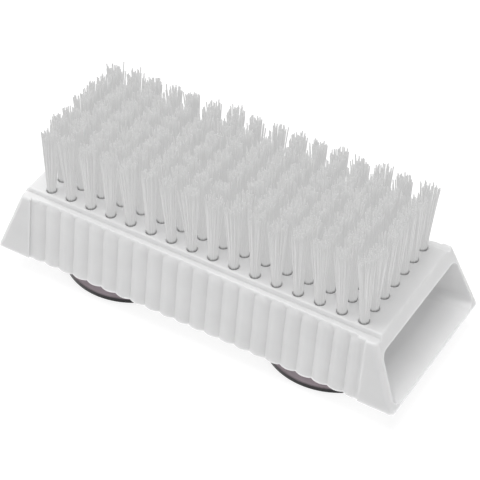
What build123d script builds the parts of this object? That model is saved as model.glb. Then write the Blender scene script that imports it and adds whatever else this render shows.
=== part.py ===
from build123d import *
from math import hypot
import os

# Acrylic nail brush: a hollow moulded block with ribbed sides, a finger pocket in
# each end and a tufted deck, standing on two suction cups that plug into it.
# Millimetres. +X runs along the block, +Z is up, and the origin lies under the
# block's centre, on the plane of the suction cups' rims.

# Heights
CUP_HEIGHT = 6.3
BLOCK_HEIGHT = 15.7
SHOULDER_DROP = 0.7
BASE_Z = CUP_HEIGHT
DECK_Z = BASE_Z + BLOCK_HEIGHT
SHOULDER_Z = DECK_Z - SHOULDER_DROP

# Block outline: a box that tapers from its base to its deck
BASE_LENGTH = 96.5
BASE_WIDTH = 37.9
BASE_CORNER = 0.9
DECK_LENGTH = 84.7
END_SLOPE = (BASE_LENGTH - DECK_LENGTH) / 2 / BLOCK_HEIGHT
SHOULDER_LENGTH = DECK_LENGTH + 2 * END_SLOPE * SHOULDER_DROP
SHOULDER_WIDTH = 33.4
SHOULDER_CORNER = 1.2
SHOULDER_ROUND = 0.6
TAPER_HEIGHT = SHOULDER_Z - BASE_Z
SIDE_DRAFT = (BASE_WIDTH - SHOULDER_WIDTH) / 2 / TAPER_HEIGHT

# Raised pad that carries the tufts, from end to end of the deck
PAD_WIDTH = 28.0  # between the tops of its sloping long sides
PAD_SIDE_RUN = 0.9  # how far a long side moves out for each millimetre down
PAD_EDGE = 0.45

# Ribs on the two long sides: convex, with domed tops, between plain corner posts
RIB_COUNT = 22
RIB_PITCH = 3.65
RIB_DEPTH = 0.55
RIB_CHORD = 3.75
RIB_RADIUS = (RIB_CHORD**2 / 4 + RIB_DEPTH**2) / (2 * RIB_DEPTH)
RIB_INSET = 0.27
RIB_TOP_DROP = 0.4
RIB_BAND = RIB_COUNT * RIB_PITCH
CREST_SPAN = RIB_BAND - RIB_PITCH  # from the first rib's crest to the last rib's
VALLEY_INSET = RIB_INSET + RIB_DEPTH
LANDING_INSET = RIB_INSET + 0.15  # of the flat strip between an outermost rib and its post

# Finger pockets in the two ends, whose walls, floor and ceiling taper inward
POCKET_DEPTH = 10.5
MOUTH_WALL = 1.35
MOUTH_FLOOR = 0.6
MOUTH_LIP = 3.2
INNER_WALL = 3.7
INNER_FLOOR = 1.5
INNER_LIP = 7.6
POCKET_CORNER = 2.0
POCKET_ROUND = 1.5

# Chamber between the pockets, open underneath
WEB_THICKNESS = 2.0
WALL_THICKNESS = 2.2
DECK_THICKNESS = 6.4
CHAMBER_CORNER = 1.5
CHAMBER_ROUND = 0.8

# Tufts: blind holes in the deck, each with a folded bundle of bristles and its anchor
TUFT_COLUMNS = 16
TUFT_ROWS = 7
TUFT_PITCH_X = 5.0
TUFT_PITCH_Y = 4.13
HOLE_RADIUS = 1.2
HOLE_DEPTH = 4.4
TUFT_RADIUS = 1.05
TUFT_TIP_RADIUS = 1.8
TUFT_HEIGHT = 17.2
TUFT_GAP = 0.05
ANCHOR_WIDTH = 2.2
ANCHOR_HEIGHT = 1.4
ANCHOR_THICKNESS = 0.4
ANCHOR_LIFT = 0.7

# Suction cups: a bell with a flat rim, and a mushroom stem
CUP_SPACING = 50.6
CUP_RADIUS = 15.8
RIM_LAND = 1.3
RIM_THICKNESS = 0.9
CUP_HOLLOW = 2.9
CUP_SLOPE = 0.28  # fall of the bell for each millimetre outward, where it leaves the collar
COLLAR_RADIUS = 5.2
COLLAR_HEIGHT = 1.6
STEM_RADIUS = 3.0
STEM_CLEARANCE = 0.05
SEAT_GAP = 0.1
HEAD_RADIUS = 4.4
HEAD_HEIGHT = 3.6
HEAD_TIP_RADIUS = 2.2

# Sockets in the chamber that the stems snap up into
BOSS_RADIUS = 5.8
SEAT_THICKNESS = 1.5
HEAD_CLEARANCE = 0.15

OVERRUN = 1.0  # how far a cutting shape passes the faces it cuts


def half_width(z):
    """Half the block's width over its ribs at height z."""
    return BASE_WIDTH / 2 - SIDE_DRAFT * (z - BASE_Z)


def half_length(z):
    """Half the block's length at height z."""
    return DECK_LENGTH / 2 + END_SLOPE * (DECK_Z - z)


def tapered_box(inset):
    """The block's outer shape up to its shoulder, with its long sides moved in by inset."""
    base = RectangleRounded(BASE_LENGTH, BASE_WIDTH - 2 * inset, BASE_CORNER)
    shoulder = RectangleRounded(SHOULDER_LENGTH, SHOULDER_WIDTH - 2 * inset, SHOULDER_CORNER)
    box = loft([Pos(Z=BASE_Z) * base, Pos(Z=SHOULDER_Z) * shoulder], ruled=True)
    top_edges = box.faces().sort_by(Axis.Z)[-1].edges()
    return fillet(top_edges, SHOULDER_ROUND)


def middle_slab(length):
    """A box that holds everything within length / 2 of the block's centre."""
    return Pos(Z=SHOULDER_Z / 2) * Box(length, 2 * BASE_WIDTH, 2 * SHOULDER_Z)


def pad():
    """The raised pad: sloping long sides, and two ends flush with the block's sloping ends."""
    foot_z = SHOULDER_Z - OVERRUN
    foot_length = 2 * half_length(foot_z)
    foot_width = PAD_WIDTH + 2 * PAD_SIDE_RUN * (DECK_Z - foot_z)
    foot = Pos(Z=foot_z) * Rectangle(foot_length, foot_width)
    top = Pos(Z=DECK_Z) * Rectangle(DECK_LENGTH, PAD_WIDTH)
    body = loft([foot, top], ruled=True)
    return fillet(body.faces().sort_by(Axis.Z)[-1].edges(), PAD_EDGE)


def front_rib(x):
    """One rib of the front wall: a leaning cylinder closed by a ball at its top."""
    ball_z = SHOULDER_Z - RIB_TOP_DROP - RIB_CHORD / 2
    lean = hypot(1, SIDE_DRAFT)
    ball_y = -half_width(ball_z) + RIB_INSET + RIB_RADIUS * lean
    axis = Plane(origin=(x, ball_y, ball_z), x_dir=(1, 0, 0), z_dir=(0, SIDE_DRAFT, 1))
    length = (ball_z - BASE_Z + OVERRUN) * lean
    rod = Cylinder(RIB_RADIUS, length, align=(Align.CENTER, Align.CENTER, Align.MAX))
    return axis * (rod + Sphere(RIB_RADIUS))


def ribs():
    """Both ribbed walls, trimmed to the block's underside and to the outside of its walls."""
    first = -RIB_BAND / 2 + RIB_PITCH / 2
    front = Part() + [front_rib(first + i * RIB_PITCH) for i in range(RIB_COUNT)]
    skin_y = half_width(SHOULDER_Z) - WALL_THICKNESS / 2
    skin = Pos(0, -skin_y, BASE_Z) * Box(
        RIB_BAND, BASE_WIDTH / 2, TAPER_HEIGHT, align=(Align.CENTER, Align.MAX, Align.MIN)
    )
    front = front & skin
    return front + mirror(front, about=Plane.XZ)


def pocket_section(inward):
    """The right pocket's outline on a plane parallel to the block's end and that far inside it."""
    share = inward / POCKET_DEPTH
    wall = MOUTH_WALL + share * (INNER_WALL - MOUTH_WALL)
    floor_z = BASE_Z + MOUTH_FLOOR + share * (INNER_FLOOR - MOUTH_FLOOR)
    ceiling_z = DECK_Z - MOUTH_LIP - share * (INNER_LIP - MOUTH_LIP)
    origin = (BASE_LENGTH / 2 - inward, 0, BASE_Z)
    plane = Plane(origin=origin, x_dir=(0, 1, 0), z_dir=(1, 0, END_SLOPE))
    floor_v = (floor_z - BASE_Z) / plane.y_dir.Z
    ceiling_v = (ceiling_z - BASE_Z) / plane.y_dir.Z
    wide = half_width(floor_z) - wall
    narrow = half_width(ceiling_z) - wall
    outline = Polygon((-wide, floor_v), (wide, floor_v), (narrow, ceiling_v), (-narrow, ceiling_v), align=None)
    return plane * fillet(outline.vertices(), POCKET_CORNER)


def pockets():
    """The finger pockets in both ends, rounded at their inner ends."""
    right = loft([pocket_section(POCKET_DEPTH), pocket_section(-OVERRUN)], ruled=True)
    right = fillet(right.faces().sort_by(Axis.X)[0].edges(), POCKET_ROUND)
    return [right, mirror(right, about=Plane.YZ)]


def chamber_section(z):
    """The chamber's outline at height z."""
    length = 2 * (half_length(z) - POCKET_DEPTH - WEB_THICKNESS)
    width = 2 * (half_width(z) - WALL_THICKNESS)
    return Pos(Z=z) * RectangleRounded(length, width, CHAMBER_CORNER)


def chamber():
    """The hollow between the pockets, from below the block up to the deck's underside."""
    hollow = loft([chamber_section(BASE_Z - OVERRUN), chamber_section(DECK_Z - DECK_THICKNESS)], ruled=True)
    return fillet(hollow.faces().sort_by(Axis.Z)[-1].edges(), CHAMBER_ROUND)


def boss():
    """The post that hangs from the deck over a cup's stem, before its socket is cut."""
    height = BLOCK_HEIGHT - DECK_THICKNESS + OVERRUN
    return Pos(Z=BASE_Z) * Cylinder(BOSS_RADIUS, height, align=(Align.CENTER, Align.CENTER, Align.MIN))


def socket():
    """The room for a cup's stem and head, which narrows to a seat at the boss's foot."""
    upward = (Align.CENTER, Align.CENTER, Align.MIN)
    neck_height = OVERRUN + SEAT_THICKNESS
    head_room = 2 * SEAT_GAP + HEAD_HEIGHT
    neck = Pos(Z=BASE_Z - OVERRUN) * Cylinder(STEM_RADIUS + STEM_CLEARANCE, neck_height, align=upward)
    room = Pos(Z=BASE_Z + SEAT_THICKNESS) * Cylinder(HEAD_RADIUS + HEAD_CLEARANCE, head_room, align=upward)
    return neck + room


def tuft_places():
    """Deck positions of the tufts, one list for each column across the block."""
    columns = []
    for i in range(TUFT_COLUMNS):
        x = (i - (TUFT_COLUMNS - 1) / 2) * TUFT_PITCH_X
        ys = [(j - (TUFT_ROWS - 1) / 2) * TUFT_PITCH_Y for j in range(TUFT_ROWS)]
        columns.append([Pos(x, y, DECK_Z) for y in ys])
    return columns


def cup_places():
    """Where the two cups stand, left then right."""
    return [Pos(-CUP_SPACING / 2, 0, 0), Pos(CUP_SPACING / 2, 0, 0)]


def brush_block():
    """The moulded block with its ribs, pad, pockets, chamber, sockets and tuft holes."""
    posts = tapered_box(0) - middle_slab(RIB_BAND)
    landings = tapered_box(LANDING_INSET) - middle_slab(CREST_SPAN)
    middle = tapered_box(VALLEY_INSET) & middle_slab(RIB_BAND + OVERRUN)
    block = middle + landings + posts + pad() + ribs()
    block = block - chamber() - pockets()
    block = block + [place * boss() for place in cup_places()]
    block = block - [place * socket() for place in cup_places()]
    tuft_hole = Pos(Z=-HOLE_DEPTH) * Cylinder(
        HOLE_RADIUS, HOLE_DEPTH + OVERRUN, align=(Align.CENTER, Align.CENTER, Align.MIN)
    )
    return block - [place * tuft_hole for column in tuft_places() for place in column]


def anchor():
    """The flat metal clip that a tuft is folded round, at the bottom of its hole."""
    foot = -HOLE_DEPTH + ANCHOR_LIFT
    return Pos(Z=foot) * Box(
        ANCHOR_WIDTH, ANCHOR_THICKNESS, ANCHOR_HEIGHT, align=(Align.CENTER, Align.CENTER, Align.MIN)
    )


def tuft():
    """One bundle of bristles, from the bottom of its hole to its trimmed tips."""
    root = Pos(Z=-HOLE_DEPTH + TUFT_GAP) * Cylinder(
        TUFT_RADIUS, HOLE_DEPTH - TUFT_GAP, align=(Align.CENTER, Align.CENTER, Align.MIN)
    )
    brush = Cone(TUFT_RADIUS, TUFT_TIP_RADIUS, TUFT_HEIGHT, align=(Align.CENTER, Align.CENTER, Align.MIN))
    return root + brush - anchor()


def suction_cup():
    """Half a cup's section, turned about its stem's axis; the rim stands on z = 0."""
    seat_top = BASE_Z + SEAT_THICKNESS
    collar_top = BASE_Z - SEAT_GAP
    collar_foot = collar_top - COLLAR_HEIGHT
    head_foot = seat_top + SEAT_GAP
    head_top = head_foot + HEAD_HEIGHT
    land_inner = CUP_RADIUS - RIM_LAND
    with BuildSketch(Plane.XZ) as section:
        with BuildLine():
            Line((0, head_top), (HEAD_TIP_RADIUS, head_top))
            TangentArc((HEAD_RADIUS, head_foot), (HEAD_TIP_RADIUS, head_top), tangent=(0, 1))
            Line((HEAD_RADIUS, head_foot), (STEM_RADIUS, head_foot))
            Line((STEM_RADIUS, head_foot), (STEM_RADIUS, collar_top))
            Line((STEM_RADIUS, collar_top), (COLLAR_RADIUS, collar_top))
            Line((COLLAR_RADIUS, collar_top), (COLLAR_RADIUS, collar_foot))
            TangentArc((COLLAR_RADIUS, collar_foot), (CUP_RADIUS, RIM_THICKNESS), tangent=(1, -CUP_SLOPE))
            Line((CUP_RADIUS, RIM_THICKNESS), (CUP_RADIUS, 0))
            Line((CUP_RADIUS, 0), (land_inner, 0))
            TangentArc((0, CUP_HOLLOW), (land_inner, 0), tangent=(1, 0))
            Line((0, CUP_HOLLOW), (0, head_top))
        make_face()
    return revolve(section.sketch, Axis.Z)


def write(name, solids):
    """Write one node's solids to its STEP file."""
    shape = Compound(children=list(solids))
    shape.label = name
    export_step(shape, f"parts/{name}.step")


def main():
    os.makedirs("parts", exist_ok=True)
    write("brush_block", brush_block().solids())
    bundle = tuft()
    clip = anchor()
    for number, column in enumerate(tuft_places(), start=1):
        write(f"tuft_column_{number:02d}", [place * bundle for place in column])
        write(f"anchor_column_{number:02d}", [place * clip for place in column])
    cup = suction_cup()
    for side, place in zip(("left", "right"), cup_places()):
        write(f"suction_cup_{side}", (place * cup).solids())


main()
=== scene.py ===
from math import cos, pi, radians, sin, sqrt
from random import Random

import bpy
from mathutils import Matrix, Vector


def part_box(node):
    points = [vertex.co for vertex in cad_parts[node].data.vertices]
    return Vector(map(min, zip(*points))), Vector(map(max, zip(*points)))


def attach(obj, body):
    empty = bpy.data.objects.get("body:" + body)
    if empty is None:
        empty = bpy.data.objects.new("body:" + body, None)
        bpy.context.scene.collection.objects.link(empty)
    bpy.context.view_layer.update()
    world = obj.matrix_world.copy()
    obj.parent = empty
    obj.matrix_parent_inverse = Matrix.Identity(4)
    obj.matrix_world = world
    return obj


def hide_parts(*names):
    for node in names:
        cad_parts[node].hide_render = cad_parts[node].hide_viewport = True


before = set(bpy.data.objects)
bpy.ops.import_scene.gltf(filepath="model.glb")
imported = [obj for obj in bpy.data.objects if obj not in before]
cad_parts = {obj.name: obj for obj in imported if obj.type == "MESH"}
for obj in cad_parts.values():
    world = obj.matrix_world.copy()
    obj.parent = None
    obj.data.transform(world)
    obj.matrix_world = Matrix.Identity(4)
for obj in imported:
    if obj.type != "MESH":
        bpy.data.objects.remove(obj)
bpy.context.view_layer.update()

# The looks of the acrylic nail brush: nylon bristles strand by strand, and the
# materials of the moulded block, the anchors and the suction cups. Metres throughout.

MM = 0.001

# Camera: the photograph's viewing angle
CAMERA_AZIMUTH = radians(31.33)
CAMERA_ELEVATION = radians(42.53)
CAMERA_DISTANCE = 0.4101
CAMERA_TARGET = Vector((0.0045, -0.0051, 0.0220))
CAMERA_LENS_MM = 150
CAMERA_SENSOR_MM = 36

# Light: square softboxes at one distance from the middle of the brush, which they face
LIGHT_DISTANCE = 0.8
SOFTBOXES = (
    # name, azimuth and elevation in degrees, side in metres, watts
    ("front_light", 20, 60, 0.30, 1.0),
    ("top_light", 0, 85, 0.50, 3.4),
    ("upper_left_light", -80, 68, 0.50, 2.4),
    ("left_light", -75, 35, 0.45, 0.3),
    ("right_light", 95, 10, 0.26, 0.8),
    ("back_light", 211, 43, 0.60, 1.2),
)
WORLD_STRENGTH = 0.20

# Floor
FLOOR_SIZE = 6.0
FLOOR_GLOW = 0.82
FLOOR_SHADE = 0.25

# Block
# Painted glow: emission on the block's plastic, which is no lamp, standing in for light passed on
# through its walls
BLOCK_PAINTED_GLOW = 0.14  # stands in for the light that translucent walls pass on

# Suction cups: painted shade, near black, below the first height, standing in for the dark edge of
# the clear rim, and the bell's own colour above the second
CUP_EDGE_PAINTED_SHADE = (0.008, 0.007, 0.008)
CUP_EDGE_DARK = 0.85 * MM
CUP_EDGE_CLEAR = 1.05 * MM

# Strands, each folded in two round its tuft's anchor
STRANDS = 29
STRAND_RADIUS = 0.14 * MM
STRAND_SIDES = 6
NEST = 0.35 * MM  # how much wider than the innermost strands the outermost ones go round the anchor
TURN_SHARE = 0.7  # of its half-width, where the turn under the anchor has its side points
SHAFT_SHARES = (0.0, 0.3, 0.5, 0.7, 0.85, 1.0)  # of the height, where a shaft has its points
BEND_POWER = 1.1  # above 1, a strand bends outward more towards its tip
STRAND_LEAN = 0.24 * MM  # sideways scatter of one tip
# Painted glow on the strands, which are no lamp, and painted shade in the holes where that glow
# fades out
BRISTLE_PAINTED_GLOW = 0.35  # stands in for the light that frosted strands pass on to each other
HOLE_PAINTED_SHADE = 0.4 * MM  # the glow fades in from this far below the deck to this far above it

# Tufts
TUFT_ROWS = 7
FOOT_SPREAD = 0.88 * MM  # radius of the bundle at the deck
TIP_SPREAD = 1.95 * MM  # usual radius at the tips
TUFT_LEAN = 0.2 * MM  # sideways scatter of a whole tuft
TUFT_SLANT = (0.1 * MM, 0.7 * MM)  # rise of the cut from the middle to the side of a tuft
TUFT_FLARE = (0.8, 1.15)  # of the usual spreading
TUFT_HEIGHT_SCATTER = 0.25 * MM

# Tips: most end close to the tuft's height, and a few stand out or fall short
TIP_MEAN = 16.1 * MM
TIP_LIMIT = 17.2 * MM
TIP_HEIGHT_SCATTER = 0.22 * MM
STRAY_SHARE = 0.05
STRAY_RISE = (0.6 * MM, 1.3 * MM)
SHORT_SHARE = 0.12
SHORT_DROP = (0.5 * MM, 1.5 * MM)

SEED = 11


# ---------------------------------------------------------------- material tools

def new_material(name):
    """A material with one Principled shader. Returns both."""
    material = bpy.data.materials.new(name)
    material.use_nodes = True
    return material, shader_of(material)


def shader_of(material):
    return material.node_tree.nodes["Principled BSDF"]


def dress(thing, material):
    """Gives every face of a piece that material."""
    thing.data.materials.clear()
    thing.data.materials.append(material)


def noise(material, scale, detail, stretch=(1, 1, 1)):
    """A noise texture over object coordinates. scale is in cells per metre."""
    nodes = material.node_tree.nodes
    links = material.node_tree.links
    place = nodes.new("ShaderNodeTexCoord")
    mapping = nodes.new("ShaderNodeMapping")
    mapping.inputs["Scale"].default_value = stretch
    texture = nodes.new("ShaderNodeTexNoise")
    texture.inputs["Scale"].default_value = scale
    texture.inputs["Detail"].default_value = detail
    links.new(place.outputs["Object"], mapping.inputs["Vector"])
    links.new(mapping.outputs["Vector"], texture.inputs["Vector"])
    return texture.outputs["Fac"]


def height_share(material, low, high):
    """A number that goes from 0 to 1 as a point's height on its piece goes from low to high."""
    nodes = material.node_tree.nodes
    links = material.node_tree.links
    place = nodes.new("ShaderNodeTexCoord")
    axes = nodes.new("ShaderNodeSeparateXYZ")
    span = nodes.new("ShaderNodeMapRange")
    span.inputs["From Min"].default_value = low
    span.inputs["From Max"].default_value = high
    links.new(place.outputs["Object"], axes.inputs["Vector"])
    links.new(axes.outputs["Z"], span.inputs["Value"])
    return span.outputs["Result"]


def range_between(material, factor, low, high):
    """A number that goes from low to high as factor goes from 0 to 1."""
    span = material.node_tree.nodes.new("ShaderNodeMapRange")
    span.inputs["To Min"].default_value = low
    span.inputs["To Max"].default_value = high
    material.node_tree.links.new(factor, span.inputs["Value"])
    return span.outputs["Result"]


def colour_between(material, factor, dark, light, low=0.3, high=0.7):
    """Colours from dark to light as factor goes from low to high."""
    ramp = material.node_tree.nodes.new("ShaderNodeValToRGB")
    ramp.color_ramp.elements[0].position = low
    ramp.color_ramp.elements[0].color = (*dark, 1)
    ramp.color_ramp.elements[1].position = high
    ramp.color_ramp.elements[1].color = (*light, 1)
    material.node_tree.links.new(factor, ramp.inputs["Fac"])
    return ramp.outputs["Color"]


def colour_socket(sockets, name):
    """The colour socket of that name: a mix node has one for each type of value."""
    return next(socket for socket in sockets if socket.name == name and socket.type == "RGBA")


def mixed(material, factor, plain, varied):
    """From a plain colour to a varied one, a node's output, as factor goes from 0 to 1."""
    links = material.node_tree.links
    mix = material.node_tree.nodes.new("ShaderNodeMix")
    mix.data_type = "RGBA"
    colour_socket(mix.inputs, "A").default_value = (*plain, 1)
    links.new(factor, mix.inputs["Factor"])
    links.new(varied, colour_socket(mix.inputs, "B"))
    return colour_socket(mix.outputs, "Result")


def bump(material, height, depth, strength):
    """A bump of that real depth in metres, on the material's shader."""
    node = material.node_tree.nodes.new("ShaderNodeBump")
    node.inputs["Strength"].default_value = strength
    node.inputs["Distance"].default_value = depth
    links = material.node_tree.links
    links.new(height, node.inputs["Height"])
    links.new(node.outputs["Normal"], shader_of(material).inputs["Normal"])


# ---------------------------------------------------------------- materials

def block_plastic():
    """White moulded plastic with a satin skin: faint flow clouds, a fine moulded grain, and a
    painted glow that stands in for light passed on through the walls.
    """
    material, shader = new_material("block_plastic")
    links = material.node_tree.links
    clouds = noise(material, 60, detail=4.0, stretch=(1, 1, 2.5))
    colour = colour_between(material, clouds, (0.55, 0.55, 0.552), (0.59, 0.59, 0.592))
    links.new(colour, shader.inputs["Base Color"])
    grain = noise(material, 2600, detail=2.0)
    links.new(range_between(material, grain, 0.30, 0.46), shader.inputs["Roughness"])
    bump(material, grain, 0.02 * MM, strength=0.35)
    shader.inputs["IOR"].default_value = 1.49
    shader.inputs["Subsurface Weight"].default_value = 0.8
    shader.inputs["Subsurface Radius"].default_value = (1.0, 1.0, 1.0)
    shader.inputs["Subsurface Scale"].default_value = 1.5 * MM
    # Painted glow: the plastic emits light of its own
    shader.inputs["Emission Color"].default_value = (1, 1, 1, 1)
    shader.inputs["Emission Strength"].default_value = BLOCK_PAINTED_GLOW
    return material


def bristle_nylon():
    """Frosted nylon: streaks along each strand, a fine grain, and a painted glow that fades out in
    the holes, leaving painted shade round the tufts' feet.
    """
    material, shader = new_material("bristle_nylon")
    links = material.node_tree.links
    streaks = noise(material, 1800, detail=2.0, stretch=(1, 1, 0.04))
    colour = colour_between(material, streaks, (0.21, 0.21, 0.21), (0.26, 0.26, 0.26))
    links.new(colour, shader.inputs["Base Color"])
    grain = noise(material, 5000, detail=2.0, stretch=(1, 1, 0.2))
    links.new(range_between(material, grain, 0.28, 0.50), shader.inputs["Roughness"])
    bump(material, grain, 0.01 * MM, strength=0.3)
    shader.inputs["IOR"].default_value = 1.53
    shader.inputs["Transmission Weight"].default_value = 0.1
    # Painted glow: emission that, with the dark base colour, gives the strands most of their tone,
    # and fades to painted shade in the holes
    deck_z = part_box("brush_block")[1].z
    out_of_hole = height_share(material, deck_z - HOLE_PAINTED_SHADE, deck_z + HOLE_PAINTED_SHADE)
    glow = colour_between(material, out_of_hole, (0, 0, 0), (1, 1, 1), low=0, high=1)
    links.new(glow, shader.inputs["Emission Color"])
    shader.inputs["Emission Strength"].default_value = BRISTLE_PAINTED_GLOW
    return material


def anchor_metal():
    """Nickel strip with rolled streaks, some of them duller."""
    material, shader = new_material("anchor_metal")
    links = material.node_tree.links
    streaks = noise(material, 2500, detail=3.0, stretch=(1, 1, 0.1))
    colour = colour_between(material, streaks, (0.55, 0.53, 0.49), (0.70, 0.68, 0.63))
    links.new(colour, shader.inputs["Base Color"])
    links.new(range_between(material, streaks, 0.22, 0.42), shader.inputs["Roughness"])
    bump(material, streaks, 0.01 * MM, strength=0.3)
    shader.inputs["Metallic"].default_value = 1.0
    return material


def cup_vinyl():
    """Smoky soft vinyl: glossy, cloudy and slightly wavy, with painted shade, near black, at the
    rim's thick edge.
    """
    material, shader = new_material("cup_vinyl")
    links = material.node_tree.links
    clouds = noise(material, 220, detail=3.0)
    bell = colour_between(material, clouds, (0.500, 0.428, 0.462), (0.600, 0.513, 0.556))
    # Painted shade: the rim's edge is coloured near black
    above_edge = height_share(material, CUP_EDGE_DARK, CUP_EDGE_CLEAR)
    colour = mixed(material, above_edge, CUP_EDGE_PAINTED_SHADE, bell)
    links.new(colour, shader.inputs["Base Color"])
    waves = noise(material, 500, detail=2.0)
    links.new(range_between(material, waves, 0.08, 0.20), shader.inputs["Roughness"])
    bump(material, waves, 0.02 * MM, strength=0.3)
    shader.inputs["IOR"].default_value = 1.53
    shader.inputs["Specular IOR Level"].default_value = 0.3
    shader.inputs["Coat Weight"].default_value = 0.12
    shader.inputs["Coat Roughness"].default_value = 0.05
    return material


def floor_paper():
    """Plain pale paper, with a glow that keeps the ground white."""
    material, shader = new_material("floor_paper")
    shader.inputs["Base Color"].default_value = (FLOOR_SHADE, FLOOR_SHADE, FLOOR_SHADE, 1)
    shader.inputs["Roughness"].default_value = 0.8
    shader.inputs["Emission Color"].default_value = (1, 1, 1, 1)
    shader.inputs["Emission Strength"].default_value = FLOOR_GLOW
    return material


# ---------------------------------------------------------------- stage

def away(azimuth, elevation):
    """The unit vector from the brush towards a viewer or a light at that azimuth and elevation."""
    return Vector((
        sin(azimuth) * cos(elevation),
        -cos(azimuth) * cos(elevation),
        sin(elevation),
    ))


def add_camera():
    data = bpy.data.cameras.new("camera")
    data.lens = CAMERA_LENS_MM
    data.sensor_width = CAMERA_SENSOR_MM
    camera = bpy.data.objects.new("camera", data)
    bpy.context.scene.collection.objects.link(camera)
    camera.location = CAMERA_TARGET + CAMERA_DISTANCE * away(CAMERA_AZIMUTH, CAMERA_ELEVATION)
    camera.rotation_euler = (pi / 2 - CAMERA_ELEVATION, 0, CAMERA_AZIMUTH)
    bpy.context.scene.camera = camera


def add_world():
    world = bpy.data.worlds.new("studio")
    world.use_nodes = True
    background = world.node_tree.nodes["Background"]
    background.inputs["Color"].default_value = (1, 1, 1, 1)
    background.inputs["Strength"].default_value = WORLD_STRENGTH
    bpy.context.scene.world = world


def add_floor():
    """A plain white sheet under the brush."""
    half = FLOOR_SIZE / 2
    mesh = bpy.data.meshes.new("floor")
    corners = [(-half, -half, 0), (half, -half, 0), (half, half, 0), (-half, half, 0)]
    mesh.from_pydata(corners, [], [(0, 1, 2, 3)])
    floor = bpy.data.objects.new("floor", mesh)
    bpy.context.scene.collection.objects.link(floor)
    dress(floor, floor_paper())


def add_softbox(name, azimuth, elevation, size, watts):
    """A square area light that faces the middle of the brush. The angles are in degrees."""
    data = bpy.data.lights.new(name, "AREA")
    data.size = size
    data.energy = watts
    light = bpy.data.objects.new(name, data)
    bpy.context.scene.collection.objects.link(light)
    towards = away(radians(azimuth), radians(elevation))
    light.location = CAMERA_TARGET + LIGHT_DISTANCE * towards
    light.rotation_euler = towards.to_track_quat("Z", "Y").to_euler()


def add_studio():
    add_camera()
    add_world()
    add_floor()
    for softbox in SOFTBOXES:
        add_softbox(*softbox)
    bpy.context.scene.view_settings.view_transform = "Standard"


# ---------------------------------------------------------------- bristles

def disc_points(count, radius):
    """Evenly spread points in a disc, on a sunflower spiral."""
    golden_angle = pi * (3 - sqrt(5))
    points = []
    for i in range(count):
        r = radius * sqrt((i + 0.5) / count)
        points.append((r * cos(i * golden_angle), r * sin(i * golden_angle)))
    return points


def strand_places():
    """Pairs of points, one on each side of the anchor, for strands folded round it."""
    points = disc_points(2 * STRANDS, FOOT_SPREAD)
    by_side = sorted(points, key=lambda p: p[1])
    near = sorted(by_side[:STRANDS])
    far = sorted(by_side[STRANDS:])
    return list(zip(near, far))


def new_tuft(rng):
    """What one tuft's strands share: height, slanted cut, lean and flare."""
    return {
        "height": TIP_MEAN + rng.gauss(0, TUFT_HEIGHT_SCATTER),
        "slant": rng.uniform(*TUFT_SLANT),
        "slant_angle": rng.uniform(0, 2 * pi),
        "lean": (rng.gauss(0, TUFT_LEAN), rng.gauss(0, TUFT_LEAN)),
        "flare": rng.uniform(*TUFT_FLARE),
    }


def tip_height(rng, tuft, point):
    """How far above the deck a strand ends: a slanted cut, scatter, a few strays and short ones."""
    x, y = point
    angle = tuft["slant_angle"]
    uphill = (x * cos(angle) + y * sin(angle)) / FOOT_SPREAD
    height = tuft["height"] + tuft["slant"] * uphill + rng.gauss(0, TIP_HEIGHT_SCATTER)
    chance = rng.random()
    if chance < STRAY_SHARE:
        height += rng.uniform(*STRAY_RISE)
    elif chance < STRAY_SHARE + SHORT_SHARE:
        height -= rng.uniform(*SHORT_DROP)
    return min(height, TIP_LIMIT)


def shaft(rng, tuft, point, deck_z):
    """Points of one strand's free part, from the deck up to its tip."""
    x, y = point
    height = tip_height(rng, tuft, point)
    flare = (TIP_SPREAD / FOOT_SPREAD - 1) * tuft["flare"]
    lean_x = tuft["lean"][0] + flare * x + rng.gauss(0, STRAND_LEAN)
    lean_y = tuft["lean"][1] + flare * y + rng.gauss(0, STRAND_LEAN)
    points = []
    for share in SHAFT_SHARES:
        bend = share ** BEND_POWER
        points.append(Vector((x + lean_x * bend, y + lean_y * bend, deck_z + height * share)))
    return points


def strand_path(rng, tuft, near, far, deck_z, anchor):
    """The whole strand: down one side of the anchor, under it, and up the other side."""
    anchor_low, anchor_high = anchor
    half_thickness = (anchor_high.y - anchor_low.y) / 2 + STRAND_RADIUS
    middle_x = (near[0] + far[0]) / 2
    nest = (abs(near[1]) + abs(far[1])) / 2 / FOOT_SPREAD * NEST
    side_y = half_thickness + nest
    bottom_z = anchor_low.z - STRAND_RADIUS - nest
    turn_y = side_y * TURN_SHARE
    turn_z = bottom_z + side_y * (1 - TURN_SHARE)
    down = shaft(rng, tuft, near, deck_z)[::-1]
    up = shaft(rng, tuft, far, deck_z)
    turn = [
        Vector((near[0], -side_y, anchor_high.z)),
        Vector((middle_x, -side_y, anchor_low.z)),
        Vector((middle_x, -turn_y, turn_z)),
        Vector((middle_x, 0, bottom_z)),
        Vector((middle_x, turn_y, turn_z)),
        Vector((middle_x, side_y, anchor_low.z)),
        Vector((far[0], side_y, anchor_high.z)),
    ]
    return down + turn + up


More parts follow.
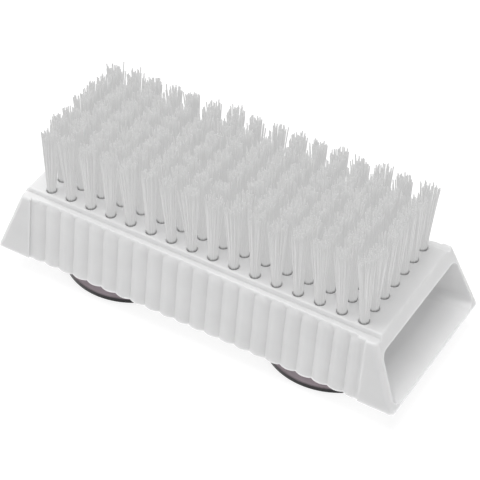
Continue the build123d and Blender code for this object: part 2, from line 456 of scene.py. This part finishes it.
def add_tube(path, centre, verts, faces):
    """A closed round tube along path, added to verts and faces."""
    first = len(verts)
    count = len(path)
    for i, point in enumerate(path):
        ahead = path[min(i + 1, count - 1)]
        behind = path[max(i - 1, 0)]
        along = (ahead - behind).normalized()
        side = Vector((1, 0, 0)).cross(along).normalized()
        across = along.cross(side)
        for k in range(STRAND_SIDES):
            turn = 2 * pi * k / STRAND_SIDES
            offset = STRAND_RADIUS * (cos(turn) * across + sin(turn) * side)
            verts.append(centre + point + offset)
    for i in range(count - 1):
        for k in range(STRAND_SIDES):
            a = first + i * STRAND_SIDES + k
            b = first + i * STRAND_SIDES + (k + 1) % STRAND_SIDES
            faces.append((a, b, b + STRAND_SIDES, a + STRAND_SIDES))
    last = first + (count - 1) * STRAND_SIDES
    faces.append(tuple(range(first + STRAND_SIDES - 1, first - 1, -1)))
    faces.append(tuple(range(last, last + STRAND_SIDES)))


def bristle_column(column, material):
    """The filaments of one column of tufts, in place of its CAD node."""
    name = f"tuft_column_{column:02d}"
    low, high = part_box(name)
    anchor_low, anchor_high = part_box(f"anchor_column_{column:02d}")
    deck_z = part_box("brush_block")[1].z
    tip_radius = (high.x - low.x) / 2
    row_pitch = (high.y - low.y - 2 * tip_radius) / (TUFT_ROWS - 1)
    middle_x = (low.x + high.x) / 2
    thickness = anchor_high.y - anchor_low.y - row_pitch * (TUFT_ROWS - 1)
    anchor = (
        Vector((0, -thickness / 2, anchor_low.z)),
        Vector((0, thickness / 2, anchor_high.z)),
    )
    rng = Random(SEED * 100 + column)
    verts, faces = [], []
    for row in range(TUFT_ROWS):
        centre = Vector((middle_x, low.y + tip_radius + row * row_pitch, 0))
        tuft = new_tuft(rng)
        for near, far in strand_places():
            path = strand_path(rng, tuft, near, far, deck_z, anchor)
            add_tube(path, centre, verts, faces)
    mesh = bpy.data.meshes.new(f"bristles_{column:02d}")
    mesh.from_pydata(verts, [], faces)
    mesh.polygons.foreach_set("use_smooth", [True] * len(mesh.polygons))
    bristles = bpy.data.objects.new(mesh.name, mesh)
    bpy.context.scene.collection.objects.link(bristles)
    dress(bristles, material)
    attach(bristles, "block")
    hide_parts(name)


# ---------------------------------------------------------------- the brush

def count_columns():
    return sum(name.startswith("tuft_column_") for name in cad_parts)


def dress_cad_nodes():
    plastic, metal, vinyl = block_plastic(), anchor_metal(), cup_vinyl()
    for name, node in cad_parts.items():
        if name == "brush_block":
            dress(node, plastic)
        elif name.startswith("anchor_column_"):
            dress(node, metal)
        elif name.startswith("suction_cup_"):
            dress(node, vinyl)


add_studio()
dress_cad_nodes()
nylon = bristle_nylon()
for column in range(1, count_columns() + 1):
    bristle_column(column, nylon)
